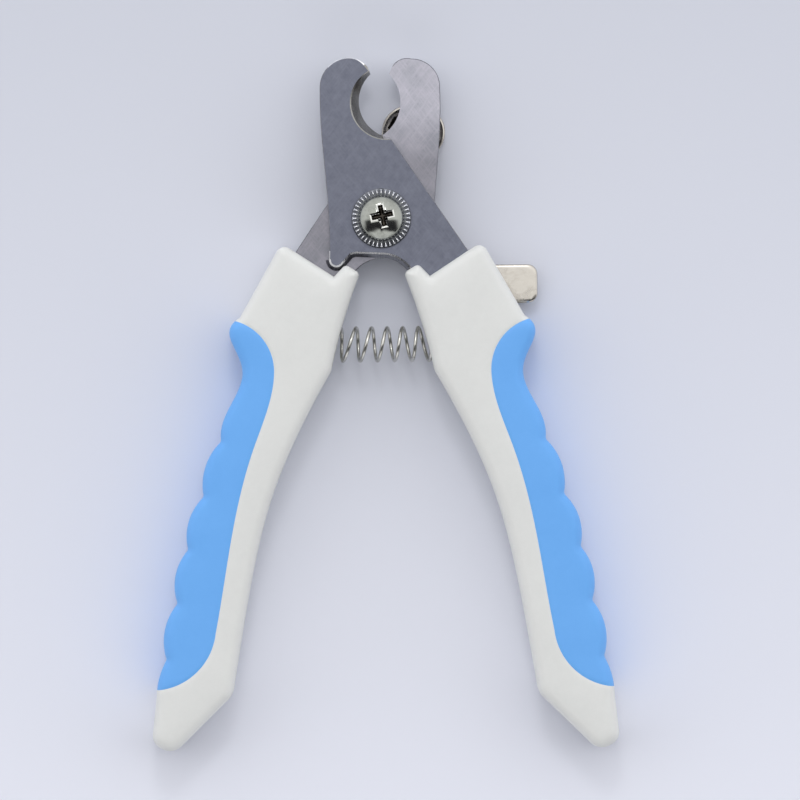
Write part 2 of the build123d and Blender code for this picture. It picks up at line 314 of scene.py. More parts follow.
def make_blade(name, side, top, tip, waist, notch_edge, notch_face, bore, facing, finishes):
    """A blade: side, top and tip are the jaw's widest point, its highest and the nose of its
    hook, and waist the height of the edge below the pivot. notch_edge and notch_face are the
    notch's (x, y, radius) at the sliding plane and at the other face. facing is -1 for the
    blade that is turned over."""
    jaw = [*curve_through([heel_left, (-11.65, 3.0), (-12.65, 15.0), side])[:-1],
           *arc_through(side, (side[0] + 2.0, side[1] + 4.95), top)[:-1],
           *arc_through(top, (0.5 * (top[0] + tip[0]) + 0.55, tip[1] + 1.5), tip)]
    hook = [tip, (tip[0] + 0.6, tip[1] - 1.4), jaw_corner, tang_shoulder]
    tang = [*map(np.array, [tang_shoulder, (21.9, -17.5), (22.1, -30.0)]),
            *arc_through((24.3, -40.5), (22.8, -42.6), (20.5, -41.9), 8),
            *map(np.array, [(18.0, -34.0), (16.2, -24.0), (12.6, -17.6)]),
            *arc_through((6.35, waist - 3.7), (4.0, waist - 1.45), (0.8, waist - 0.3)),
            *map(np.array, [(-5.6, waist), (-6.7, waist - 0.25)]),
            *arc_through(heel_right, heel_low, heel_left)[:-1]]

    def outline(share):
        place = (a + share * (b - a) for a, b in zip(notch_edge, notch_face))
        return np.array([*jaw, *notched(hook, *place), *tang]) * (facing, 1)

    count = len(outline(0))
    notch_end = count - len(tang)
    heel = slice(notch_end + 15, count)  # the tang's inner side and the heel
    sharp = np.full(count, EDGE_BREAK)
    sharp[len(jaw) - 1:notch_end] = 0.0  # the cutting edge keeps no chamfer
    edge = np.full(count, EDGE_BREAK)
    edge[heel] = HEEL_BREAK
    edge[len(jaw) - 8:len(jaw) + 1] = np.r_[np.linspace(EDGE_BREAK, TIP_BREAK, 7), TIP_BREAK, 0.3]
    taper = np.zeros(count)
    taper[heel] = HEEL_TAPER * (facing > 0)
    step = EDGE_BREAK / BLADE_STOCK
    back, face = BLADE_GAP * facing, (BLADE_GAP + BLADE_STOCK) * facing
    rims = [(inset(outline(0), sharp - taper), back),
            (inset(outline(step), -taper), back + EDGE_BREAK * facing),
            (outline(1 - step), face - EDGE_BREAK * facing), (inset(outline(1), edge), face)]
    holes = [[(circle(bore), back), (circle(bore), face)]]
    for x, y in TANG_HOLES:
        hole = circle(TANG_HOLE, 24, (x * facing, y))
        holes.append([(hole, back), (hole, face)])
    blade = plate(name, rims, holes, finishes)
    middle = Vector((notch_edge[0] * facing, notch_edge[1], 0)) * MM
    for face in blade.data.polygons:
        off = face.center - middle
        slanted = face.material_index == 1 and 0.1 < abs(face.normal.z) < 0.99
        in_notch = off.xy.length < (notch_edge[2] + BEVEL_REACH) * MM and off.x * facing < 3.5 * MM
        if slanted and in_notch:
            face.material_index = 2  # the bevel round the notch
        elif slanted and abs(face.normal.z) > 0.5 and not -7.0 * MM < face.center.y < tip[1] * MM:
            face.material_index = 3  # the chamfers of the heel and the nose; on the front blade they take the painted highlight
    return blade


# Satin, a blued grey with short faint strokes across the blade and slow clouds. Belt marks
# are near 0.05 mm apart, drawn at 0.3 mm so that they show.
front_steel = ground_steel("Hardened_stainless_satin_ground", "676A77", "7A7D8A", (52, 128), 0.3,
                           1.6, (0.36, 0.46), 0.006)
# The bare walls, sheared and then tumbled, are duller. The chamfers of the heel and the nose
# take a near-white steel, a painted highlight for the light that they catch.
edge_steel = ground_steel("Stainless_tumbled_edge", "6F7076", "8E8F95", (90,), 0.2, 2.0,
                          (0.25, 0.35), 0.004)
corner_highlight_steel = ground_steel("Stainless_corner_painted_highlight", "E2E3E6", "F6F6F8", (90,), 0.2, 2.0,
                          (0.2, 0.3), 0.004)
# The bevel is ground fine, so it is glossier than the face, with a brown cast from the wheel.
bevel_steel = ground_steel("Stainless_fine_ground_bevel", "82817F", "A09F9B", (90,), 0.15, 1.5,
                           (0.2, 0.28), 0.002)
front_blade = make_blade("front_blade_detailed", (-13.2, 28.3), (-7.5, 35.05), (-2.75, 33.0), -7.65,
                         (3.35, 25.57, 8.06), (1.4, 25.1, 7.9), 3.5, 1,
                         [front_steel, edge_steel, bevel_steel, corner_highlight_steel])
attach(front_blade, "right_half")
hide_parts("front_blade")

# ==== rear blade ====
# The same plate turned over, held in the left handle. It is left from the surface grinder
# with brighter strokes that cross each other.
# Grinder strokes near 0.1 mm apart, drawn at 0.45 mm.
# Painted shade darkens its face from Y = 24 mm down to Y = 12 mm, towards the pivot.
rear_steel = ground_steel("Stainless_cross_ground", "989AA3", "BEBBC6", (52, 128), 0.45, 5.0,
                          (0.3, 0.42), 0.008, painted_shade=(24.0, 12.0, 0.4))
rear_blade = make_blade("rear_blade_detailed", (-13.05, 28.3), (-6.9, 34.85), (-2.6, 33.1), -8.45,
                        (4.3, 25.5, 8.7), (2.9, 25.2, 8.6), 3.55, -1,
                        [rear_steel, edge_steel, bevel_steel, edge_steel])
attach(rear_blade, "left_half")
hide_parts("rear_blade")

# ==== pivot bush ====
# A turned sleeve of hardened steel, pressed into the front blade, that the rear blade turns on.
# It is hidden by the washers, so the CAD solid shows as it is.


def plated_steel(name, colour, roughness, grain, ripple, tint):
    """Plated steel: an even bright skin over a surface that ripples a little. grain is the
    size of the ripple and ripple its height; tint is the colour in the duller spots."""
    finish, tree, place = new_finish(name)
    wave, spots = (add(tree, "ShaderNodeTexNoise", {
        "Vector": place, "Scale": 1 / (size * MM), "Detail": detail, "Roughness": rough})
        for size, detail, rough in ((grain, 3.0, 0.55), (4 * grain, 5.0, 0.7)))
    dull = add(tree, "ShaderNodeMapRange", {
        "Value": spots, "From Min": 0.45, "From Max": 0.75})
    plate_colour = add(tree, "ShaderNodeMix", {
        0: dull, 6: linear(colour), 7: linear(tint)}, data_type="RGBA")
    skin(tree, plate_colour, (spots, 0.3, 0.75, roughness, roughness + 0.1), (wave, 0.4, ripple),
         Metallic=1.0)
    return finish


# Turned and hardened, so a brown-grey sheen, with oil in its pores.
bush_steel = plated_steel("Hardened_steel_turned", "8A867F", 0.3, 0.4, 0.01, "6E6A62")
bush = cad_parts["pivot_bush"]
bush.data.materials.clear()
bush.data.materials.append(bush_steel)

# ==== serrated washer ====
# A lock washer stamped from spring steel and zinc plated, under the screw head. A ring of
# radial teeth stands up round its rim.
WASHER_RADIUS = 6.5
WASHER_BORE = 2.55
WASHER_STOCK = 0.65
TEETH = 40
TEETH_START = 5.05
TEETH_END = 6.38
TOOTH_WIDTH = 0.62
TOOTH_HEIGHT = 0.48  # from 0.08 mm inside the ring


def node_tree(name, sizes):
    """A geometry node tree with named inputs, and the node that gives them."""
    tree = bpy.data.node_groups.new(name, "GeometryNodeTree")
    tree.interface.new_socket("Geometry", in_out="OUTPUT", socket_type="NodeSocketGeometry")
    for size in sizes:
        kind = "NodeSocketInt" if isinstance(sizes[size], int) else "NodeSocketFloat"
        tree.interface.new_socket(size, in_out="INPUT", socket_type=kind)
    return tree, add(tree, "NodeGroupInput").outputs


def grow(name, tree, geometry, finish, sizes):
    """Ends the tree with real geometry in its finish, runs it with the sizes, and returns
    the result as a piece with a plain mesh."""
    real = add(tree, "GeometryNodeRealizeInstances", {"Geometry": geometry})
    whole = add(tree, "GeometryNodeSetMaterial", {"Geometry": real, "Material": finish})
    add(tree, "NodeGroupOutput", {"Geometry": whole})
    carrier = bpy.data.objects.new(name + "_sizes", bpy.data.meshes.new(name + "_sizes"))
    bpy.context.scene.collection.objects.link(carrier)
    modifier = carrier.modifiers.new("shape", "NODES")
    modifier.node_group = tree
    for socket in tree.interface.items_tree:
        if socket.in_out == "INPUT":
            modifier[socket.identifier] = sizes[socket.name]
    ready = carrier.evaluated_get(bpy.context.evaluated_depsgraph_get())
    mesh = bpy.data.meshes.new_from_object(ready)
    mesh.name = name
    bpy.data.objects.remove(carrier)
    return as_piece(name, mesh, CREASE)


# Bright zinc, slightly blue, with a glint on each tooth. Between the teeth the ring takes a
# dark zinc, painted shade.
zinc = plated_steel("Spring_steel_bright_zinc", "E8E9ED", 0.14, 0.5, 0.006, "CACCD2")
zinc_painted_shade = plated_steel("Zinc_plate_painted_shade", "5E6066", 0.35, 0.5, 0.006, "36383C")
head_seat = BLADE_GAP + BLADE_STOCK + WASHER_STOCK
washer_sizes = {
    "Stock": WASHER_STOCK * MM, "Bore radius": WASHER_BORE * MM,
    "Middle radius": (WASHER_RADIUS + WASHER_BORE) / 2 * MM,
    "Width": (WASHER_RADIUS - WASHER_BORE) * MM,
    "Middle level": (head_seat - WASHER_STOCK / 2) * MM, "Teeth": TEETH,
    "Tooth radius": (TEETH_START + TEETH_END) / 2 * MM,
    "Tooth length": (TEETH_END - TEETH_START) * MM,
    "Tooth width": TOOTH_WIDTH * MM, "Tooth height": TOOTH_HEIGHT * MM,
    "Tooth root": (head_seat - 0.08) * MM, "Tooth spacing": 2 * pi / TEETH}
tree, given = node_tree("serrated_washer_shape", washer_sizes)
path = add(tree, "GeometryNodeCurvePrimitiveCircle", {
    "Resolution": 160, "Radius": given["Middle radius"]})
section = add(tree, "GeometryNodeCurvePrimitiveQuadrilateral", {
    "Width": given["Width"], "Height": given["Stock"]})
rounded_section = add(tree, "GeometryNodeFilletCurve", {
    "Curve": section, "Radius": 0.1 * MM, "Count": 2}, mode="POLY")
ring = add(tree, "GeometryNodeCurveToMesh", {
    "Curve": path, "Profile Curve": rounded_section})
ring_place = add(tree, "ShaderNodeCombineXYZ", {"Z": given["Middle level"]})
seated_ring = add(tree, "GeometryNodeTransform", {
    "Geometry": ring, "Translation": ring_place})
# A tooth is a hipped block one unit long, wide and high, stood on its root and then sized.
block = add(tree, "GeometryNodeMeshCone", {
    "Vertices": 4, "Radius Top": 0.3 * sqrt(0.5), "Radius Bottom": sqrt(0.5), "Depth": 1.0})
square = add(tree, "GeometryNodeTransform", {
    "Geometry": block, "Rotation": (0, 0, pi / 4)})
tooth_size = add(tree, "ShaderNodeCombineXYZ", {
    "X": given["Tooth length"], "Y": given["Tooth width"], "Z": given["Tooth height"]})
tooth_place = add(tree, "ShaderNodeCombineXYZ", {
    "X": given["Tooth radius"], "Z": given["Tooth root"]})
tooth = add(tree, "GeometryNodeTransform", {
    "Geometry": square, "Scale": tooth_size,
    "Translation": tooth_place})
stations = add(tree, "GeometryNodePoints", {"Count": given["Teeth"]})
number = add(tree, "GeometryNodeInputIndex")
angle = add(tree, "ShaderNodeMath", {0: number, 1: given["Tooth spacing"]}, operation="MULTIPLY")
turned = add(tree, "ShaderNodeCombineXYZ", {"Z": angle})
teeth = add(tree, "GeometryNodeInstanceOnPoints", {
    "Points": stations, "Instance": tooth, "Rotation": turned})
whole = add(tree, "GeometryNodeJoinGeometry")
for part in (teeth, seated_ring):
    tree.links.new(part.outputs[0], whole.inputs[0])
washer = grow("serrated_washer_detailed", tree, whole, zinc, washer_sizes)
washer.data.materials.append(zinc_painted_shade)
for face in washer.data.polygons:  # the ring itself, which shows between the teeth, in painted shade
    if face.center.z < (head_seat + 0.02) * MM:
        face.material_index = len(washer.data.materials) - 1
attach(washer, "right_half")
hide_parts("serrated_washer")

# ==== pivot screw ====
# An M5 pan-head screw of nickel-plated steel through both blades and the guard. The cross
# recess is punched in, so its rim is pulled down a little, and the thread ends in the nut.
HEAD_RADIUS = 4.9
HEAD_HEIGHT = 3.1
HEAD_RIM = 1.0
RECESS_HALF = 2.35
RECESS_HALF_WIDTH = 0.53
RECESS_DEPTH = 1.7
RECESS_TURN = 12
RECESS_OFF = (0.2, 0.45)  # punched a little off centre
LIP_DEPTH = 0.16  # how far the punch pulls its rim down
LIP_WIDTH = 0.3
RECESS_SHADE_DEPTH = 0.62  # below the dome's top, where the recess's painted shade starts
SCREW_RADIUS = 2.5
THREAD_PITCH, THREAD_DEPTH = 0.8, 0.25
NUT_BACK = -7.55
SEAM_HALF = 0.16  # half the width of a mould's seam
head_top = head_seat + HEAD_HEIGHT
dome_radius = (HEAD_RADIUS ** 2 + (HEAD_HEIGHT - HEAD_RIM) ** 2) / (2 * (HEAD_HEIGHT - HEAD_RIM))


def distance(points, line, closed=True):
    """How far each point is from a line of points."""
    line = np.array(line, float)
    ends = np.roll(line, -1, 0) if closed else line[1:]
    best = np.full(len(points), 1e9)
    for a, b in zip(line, ends):
        d = b - a
        t = np.clip(((points - a) @ d) / max(d @ d, 1e-12), 0, 1)
        best = np.minimum(best, np.hypot(*(points - a - t[:, None] * d).T))
    return best


def rise(x):
    """A smooth step from 0 at x = 0 to 1 at x = 1."""
    x = np.clip(x, 0, 1)
    return x * x * (3 - 2 * x)


def solid_between(name, loops, points, front, back, finishes, seam=0.0):
    """A closed solid inside the first loop and outside the others. front and back give its two
    faces' heights over the same points, and walls join their rims, with a fine groove halfway
    up them where a mould's halves met, if seam gives its depth."""
    xy = np.concatenate([*loops, points]) if len(points) else np.concatenate(loops)
    triangles = fill(loops, points)
    n = len(xy)
    over = [np.c_[xy, front(xy)], np.c_[xy, back(xy)]]
    faces = [*triangles, *(triangles[:, ::-1] + n)]
    first, base = 0, 2 * n
    for loop in loops:
        count = len(loop)
        rim = np.arange(first, first + count)
        rows = [rim]
        if seam:
            for level, depth in ((SEAM_HALF, 0), (0.0, seam), (-SEAM_HALF, 0)):
                over.append(np.c_[inset(loop, depth), np.full(count, level)])
                rows.append(np.arange(base, base + count))
                base += count
        rows.append(rim + n)
        for upper, lower in zip(rows, rows[1:]):
            faces += list(np.c_[upper, lower, np.roll(lower, -1), np.roll(upper, -1)])
        first += count
    return make_piece(name, np.concatenate(over), faces, finishes)


def cross_distance(xy):
    """Signed distance to the rim of the cross recess, negative inside it."""
    c, s = cos(radians(RECESS_TURN)), sin(radians(RECESS_TURN))
    off = xy - RECESS_OFF
    x, y = np.abs(off[:, 0] * c + off[:, 1] * s), np.abs(off[:, 1] * c - off[:, 0] * s)
    arms = [np.maximum(a - RECESS_HALF, b - RECESS_HALF_WIDTH) for a, b in ((x, y), (y, x))]
    root = 0.5  # the small radius where two arms meet
    inner = root - np.hypot(np.maximum(root + RECESS_HALF_WIDTH - x, 0),
                            np.maximum(root + RECESS_HALF_WIDTH - y, 0))
    corner = (x < RECESS_HALF_WIDTH + root) & (y < RECESS_HALF_WIDTH + root)
    plain = np.minimum(*arms)
    return np.where(corner, np.minimum(plain, -inner), plain)


def head_face(xy):
    """The dome with its rounded rim and the recess in it."""
    r = np.hypot(*xy.T)
    dome = np.sqrt(dome_radius ** 2 - np.minimum(r, HEAD_RADIUS) ** 2) - dome_radius
    rim = 0.35 * np.clip((r - HEAD_RADIUS + 0.4) / 0.4, 0, 1) ** 2
    gap = cross_distance(xy)
    wall = rise((0.05 - gap) / 0.42) * (1 - 0.38 * rise((r - 0.8) / (RECESS_HALF - 0.8)))
    lip = LIP_DEPTH * np.exp(-(np.maximum(gap, 0) / LIP_WIDTH) ** 2)
    return head_top + dome - rim - lip - RECESS_DEPTH * wall


grid = np.arange(-3.0, 3.001, 0.075)
near = np.stack(np.meshgrid(grid, grid), -1).reshape(-1, 2)
near = near[np.hypot(*(near - RECESS_OFF).T) < 2.95]
rings = [circle(r, 96) for r in (3.55, 3.75, 3.95, 4.25, 4.45, 4.6, 4.72, 4.82)]
# Nickel over steel, slightly warm, with fine ripples.
nickel = plated_steel("Steel_nickel_plated", "9EA09A", 0.13, 0.8, 0.01, "7F817B")
# The recess's rim takes a brighter, glossier nickel: a painted highlight.
rim_highlight = plated_steel("Nickel_plate_painted_highlight", "DADAD6", 0.1, 0.5, 0.01, "C2C2BE")
# The punched recess is painted near-black: painted shade in its depth.
recess_shade = plated_steel("Nickel_plated_recess_painted_shade", "4A4540", 0.35, 0.3, 0.02, "1E1A16")
head = solid_between(
    "pivot_screw_head", [circle(HEAD_RADIUS, 96)], np.concatenate([near, *rings]), head_face,
    lambda xy: np.full(len(xy), head_seat), [nickel, recess_shade, rim_highlight])
# Faces deep in the recess take the painted shade, and those round its rim the painted highlight.
for face in head.data.polygons:
    x, y, z = face.center / MM
    gap = cross_distance(np.array([[x, y]]))[0]
    if z > head_seat + 0.1 and gap < LIP_WIDTH:
        face.material_index = 1 if gap < -0.1 and z < head_top - RECESS_SHADE_DEPTH else 2
shank = [(0.0, NUT_BACK), (1.9, NUT_BACK), (2.25, NUT_BACK + 0.35)]
for k in range(4):  # the last threads
    level = NUT_BACK + 0.45 + 0.5 * THREAD_PITCH * k
    shank.append((SCREW_RADIUS - (THREAD_DEPTH if k % 2 else 0.0), level))
shank += [(SCREW_RADIUS, NUT_BACK + 2.4), (SCREW_RADIUS, head_seat + 0.02), (0.0, head_seat + 0.02)]


def lathe(name, profile, finishes, count=72):
    """A turned piece: its profile is (radius, level) points from axis to axis."""
    points, rows, faces = [], [], []
    for radius, level in profile:
        size = 1 if radius == 0 else count
        rows.append(np.arange(len(points), len(points) + size))
        points += [(x, y, level) for x, y in circle(radius, size)]
    for a, b in zip(rows, rows[1:]):
        for i in range(count):
            j = (i + 1) % count
            ring = [a[i % len(a)], a[j % len(a)], b[j % len(b)], b[i % len(b)]]
            faces.append(list(dict.fromkeys(ring)))
    if profile[0][0]:
        faces += [[rows[0][i], rows[-1][i], rows[-1][(i + 1) % count], rows[0][(i + 1) % count]]
                  for i in range(count)]
    return make_piece(name, points, faces, finishes)


screw_shank = lathe("pivot_screw_shank", shank, [nickel])
for piece in (head, screw_shank):
    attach(piece, "right_half")
    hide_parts("pivot_screw")

# ==== spring washer ====
# A thin disc spring of phosphor bronze behind the blades. It is coned, and presses the guard's
# hub against the plain washer so that the guard stays where it is put.
DISC_RADIUS, DISC_BORE = 5.0, 2.6
DISC_STOCK = 0.3
DISC_RISE = 0.2
disc_front = -(BLADE_GAP + BLADE_STOCK) - 0.05
# Bronze strip, rolled, with a brown tint.
bronze = plated_steel("Phosphor_bronze_rolled", "B08A5A", 0.28, 0.6, 0.008, "8C6A43")
disc_back = disc_front - DISC_STOCK
cone = [(DISC_BORE + 0.06 + s * (DISC_RADIUS - DISC_BORE - 0.12), DISC_RISE * (1 - rise(s)))
        for s in np.linspace(0, 1, 7)]
disc_profile = [(DISC_BORE, disc_front - DISC_RISE), *((r, disc_front - drop) for r, drop in cone),
                (DISC_RADIUS, disc_front - 0.06), (DISC_RADIUS, disc_back + 0.04),
                *((r, disc_back - drop) for r, drop in cone[::-1]),
                (DISC_BORE, disc_back - DISC_RISE + 0.05)]
disc = lathe("spring_washer_detailed", disc_profile, [bronze])
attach(disc, "right_half")
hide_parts("spring_washer")

# ==== guard ====
# One stamping of nickel-plated steel on the pivot behind the blades: a thumb tab beside the
# right handle, and an arm, set back in a joggle, to the dished stop plate behind the notch.
GUARD_STOCK = 1.2
GUARD_HUB = 7.0
GUARD_ROUND = 0.55  # of the tumbled rims
ARM_TURN = 69.3
ARM_HALF = 3.5
JOGGLE = 1.8
STOP_REACH = 20.3
STOP_HALF = 1.05  # half of the stop plate's straight length
STOP_END = 5.9  # radius of its ends
DISH_RIM = 0.4
DISH_WALL = 1.6
DISH_DEPTH = 1.0
tab_right, tab_top, tab_bottom = 34.05, -10.2, -18.7
neck_top, neck_low, tab_heel = (24.0, tab_top), (21.0, -15.0), (27.5, tab_bottom)
guard_middle = disc_back - DISC_RISE - 0.05 - GUARD_STOCK / 2


def on_arm(u, v):
    """The point u along the arm from the pivot and v to its left."""
    c, s = cos(radians(ARM_TURN)), sin(radians(ARM_TURN))
    return np.array((u * c - v * s, u * s + v * c))


def rounded(loop, corners):
    """The closed loop with the corners nearest to the given points rounded: corners are
    (point, radius)."""
    loop = np.array(loop, float)
    for point, radius in corners:
        loop = np.roll(loop, -np.argmin(np.hypot(*(loop - point).T)), 0)
        before, after = loop[0] - loop[-1], loop[1] - loop[0]
        turn = np.arccos(before @ after / np.linalg.norm(before) / np.linalg.norm(after))
        reach = radius * tan(turn / 2)
        shut = np.concatenate([loop, loop[:1]])
        run = np.r_[0, np.cumsum(np.hypot(*np.diff(shut, axis=0).T))]
        start, stop = ([np.interp(s, run, axis) for axis in shut.T]
                       for s in (reach, run[-1] - reach))
        kept = shut[(run > reach + 0.02) & (run < run[-1] - reach - 0.02)]
        shares, lean = np.linspace(0, 1, 9)[1:-1, None], cos(turn / 2)
        weights = (1 - shares) ** 2, 2 * lean * shares * (1 - shares), shares ** 2
        bend = (weights[0] * stop + weights[1] * loop[0] + weights[2] * start) / sum(weights)
        loop = np.concatenate([[start], kept, [stop], bend])
    return loop


def divided(loop, pitch):
    """The closed loop with points added so that none are further apart than the pitch."""
    made = []
    for a, b in zip(loop, np.roll(loop, -1, 0)):
        steps = max(1, int(np.ceil(np.hypot(*(b - a)) / pitch)))
        made += [a + (b - a) * k / steps for k in range(steps)]
    return np.array(made)


def face_points(loops, outline, offsets, pitch):
    """Points for a face inside the loops: rows that follow the outline at the offsets, and
    beyond them a staggered grid."""
    made = []
    for off in offsets:
        row = inset(outline, off)
        made.append(row[distance(row, outline) > off - 0.03])
    low, high = outline.min(0), outline.max(0)
    for k, y in enumerate(np.arange(low[1], high[1], pitch * 0.87)):
        x = np.arange(low[0] + 0.5 * pitch * (k % 2), high[0], pitch)
        row = np.c_[x, np.full(len(x), y)]
        made.append(row[distance(row, outline) > offsets[-1] + 0.45 * pitch])
    made = np.concatenate(made)
    made = made[inside(made, loops)]
    for loop in loops:
        made = made[distance(made, loop) > 0.5 * offsets[0]]
    return made


def rim_drop(depth, radius):
    """How far a rounded rim falls below the face, at each depth in from it."""
    d = np.clip(depth, 0, radius)
    return radius - np.sqrt(np.maximum(radius ** 2 - (radius - d) ** 2, 0))


tab_upper = meet((2.0, 3.8), neck_top, (0, 0), GUARD_HUB)[-1]
tab_lower = meet((-2.0, -3.8), neck_low, (0, 0), GUARD_HUB)[-1]
arm_root = np.degrees(np.arcsin(ARM_HALF / GUARD_HUB))
plate_middle = on_arm(STOP_REACH, 0)


def hub_arc(start, stop):
    turns = np.linspace(start, stop, max(4, int((stop - start) / 5)))
    return list(arc((0, 0), GUARD_HUB, np.radians(turns)))


def stop_end(side):
    """One rounded end of the stop plate, from the arm to its far side or back, on the right
    for side 1 and the left for -1."""
    middle = plate_middle + (side * STOP_HALF, 0)
    arm_edge = on_arm(0, -side * ARM_HALF), on_arm(STOP_REACH, -side * ARM_HALF)
    neck = meet(*arm_edge, middle, STOP_END)[0]
    start = np.degrees(atan2(neck[1] - middle[1], side * (neck[0] - middle[0])))
    turns = radians(1) * np.linspace(start, 90, 34)
    end = middle + STOP_END * np.c_[side * np.cos(turns), np.sin(turns)]
    return list(end[::side])


guard_loop = [*map(np.array, [tab_lower, neck_low, tab_heel, (tab_right, tab_bottom),
                              (tab_right, tab_top), neck_top, tab_upper]),
              *hub_arc(np.degrees(atan2(tab_upper[1], tab_upper[0])) + 2, ARM_TURN - arm_root),
              *stop_end(1), *stop_end(-1),
              *hub_arc(ARM_TURN + arm_root, 358 + np.degrees(atan2(tab_lower[1], tab_lower[0])))]
guard_loop = rounded(guard_loop, [
    ((tab_right, tab_bottom), 2.2), ((tab_right, tab_top), 2.2), (tab_heel, 2.0),
    (neck_low, 6.0), (neck_top, 3.0), (stop_end(1)[0], 1.5), (stop_end(-1)[-1], 1.5),
    (on_arm(ARM_HALF / tan(radians(arm_root)), -ARM_HALF), 1.5)])
guard_loop = divided(guard_loop, 0.6)
guard_bore = circle(2.55, 48)


def guard_level(xy):
    """The middle of the sheet: flat, then down the joggle, and the dish in the stop plate."""
    c, s = cos(radians(ARM_TURN)), sin(radians(ARM_TURN))
    u, v = xy[:, 0] * c + xy[:, 1] * s, -xy[:, 0] * s + xy[:, 1] * c
    level = guard_middle - JOGGLE * rise((u - 10.6) / 3.1) * (np.abs(v) < STOP_END + 3)
    off = np.abs(xy - plate_middle)
    depth_in = STOP_END - np.hypot(np.maximum(off[:, 0] - STOP_HALF, 0), off[:, 1])
    return level - DISH_DEPTH * rise((depth_in - DISH_RIM) / DISH_WALL)


def guard_face(side):
    def height(xy):
        depth = np.minimum(distance(xy, guard_loop), distance(xy, guard_bore) + 0.2)
        return guard_level(xy) + side * (GUARD_STOCK / 2 - rim_drop(depth, GUARD_ROUND))
    return height


# Dull nickel, a warm grey, over the faint ripple of the stamped sheet.
stamped_nickel = plated_steel("Stamped_steel_dull_nickel", "C6C1B9", 0.22, 1.3, 0.03, "A49E96")
# The dish is painted near-black: painted shade under the blades, and a painted reflection of their
# dark backs.
dish_painted_shade = plated_steel("Stop_plate_dish_painted_shade", "2A2826", 0.45, 0.6, 0.02, "161514")
guard = solid_between(
    "guard_lever_detailed", [guard_loop, guard_bore],
    face_points([guard_loop, guard_bore], guard_loop, (0.035, 0.12, 0.25, 0.45), 0.55),
    guard_face(1), guard_face(-1), [stamped_nickel, dish_painted_shade])
# Faces down in the dish, inside its rim, take the painted shade.
for face in guard.data.polygons:
    off = np.abs(np.array(face.center.xy / MM) - plate_middle)
    depth_in = STOP_END - np.hypot(max(off[0] - STOP_HALF, 0), off[1])
    sunk = face.center.z < (guard_middle - JOGGLE) * MM
    if sunk and face.normal.z > 0.1 and depth_in > DISH_RIM + 0.05:
        face.material_index = 1
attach(guard, "guard")
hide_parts("guard_lever")

# ==== plain washer and nut ====
# A punched washer and a thin hexagon nut, both zinc plated, close the stack at the back. The
# nut's corners are turned down to a cone.
plain_front = guard_middle - GUARD_STOCK / 2 - 0.05
nut_front = plain_front - 0.5
NUT_FLATS = 8.0
plain_profile = [(2.6, plain_front), (4.85, plain_front), (5.0, plain_front - 0.12),
                 (5.0, nut_front + 0.06), (4.94, nut_front), (2.68, nut_front),
                 (2.6, nut_front + 0.08)]
plain = lathe("plain_washer_detailed", plain_profile, [zinc])
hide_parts("plain_washer")
hexagon = divided(circle(NUT_FLATS / 2 / cos(pi / 6), 6), 0.35)
nut_bore = circle(SCREW_RADIUS, 48)


def nut_face(side):
    end = nut_front if side > 0 else NUT_BACK

    def height(xy):
        r = np.hypot(*xy.T)
        return end - side * (np.maximum(r - 0.97 * NUT_FLATS / 2, 0) * tan(radians(30))
                             + 0.3 * (1 - rise((r - SCREW_RADIUS) / 0.3)))
    return height


nut_rings = [circle(r, 60) for r in (2.62, 2.8, 3.3, 3.7, 3.88, 4.0)]
for ring in (circle(4.2, 60), circle(4.4, 60)):  # these only reach into the corners
    nut_rings.append(ring[inside(ring, [inset(hexagon, 0.05)])])
nut = solid_between("pivot_nut_detailed", [hexagon, nut_bore], np.concatenate(nut_rings),
                    nut_face(1), nut_face(-1), [zinc])
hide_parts("pivot_nut")
for piece in (plain, nut):
    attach(piece, "right_half")

# ==== handles ====
# Two ABS mouldings, the left the mirror of the right, each moulded round its blade's tang and
# with a rib that carries the soft grip. A blind pocket in the inner wall holds the spring.
HANDLE_HALF = 7.75
HANDLE_ROUND = 2.0
CROWN = 0.45  # how far the faces fall from their middle to their rims
CROWN_REACH = 7.0
PART_GROOVE = 0.14  # where the white and the blue meet
GROOVE_WIDTH = 0.28
FLOW_SIZE, DIRT_SIZE = 26, 2.2  # of the plastics' slow streaks and of their specks
MOULD_SEAM = 0.07
RIM_ROWS = (0.03, 0.12, 0.3, 0.6, 1.0, 1.5, 2.0)  # in from the rim, and along the groove
GROOVE_ROWS = (0.25, 0.6)
FACE_PITCH = 1.1
lip_valley, lobe, inner_top = (10.45, -12.75), (7.9, -10.1), (4.85, -12.0)
inner_wall, inner_knee = (8.4, -22.1), (11.3, -33.3)
shoulder, nose_top = (21.85, -5.33), (31.0, -21.48)
tail_inner, tail_tip, tail_outer = (33.35, -103.7), (46.5, -116.6), (50.95, -113.9)
grip_end = (49.85, -104.0)
pocket_mouth, POCKET_TURN = (9.35, -28.1), 17.5  # and its axis's angle from X
pocket_profile = [(0, -2.5), (5.5, -2.5), (5.5, -0.9), (5.0, 0.3), (5.0, 4.2), (4.6, 4.5), (0, 4.5)]
RELIEF_FLOOR = -2.7  # how near the sliding plane the room for the guard's tab goes
tab_relief = np.array([(3.0, -8.2), (19.0, -17.9), (25.2, -22.25), (40.0, -22.25), (40.0, 2.0),
                       (3.0, 2.0)])
SLIVER = 0.002  # a cut leaves no edge shorter than this
valleys = [(35.3, -48.4), (39.2, -60.4), (42.7, -71.9), (45.1, -83.6), (47.6, -95.8)]
SCALLOP_RISE = 1.65

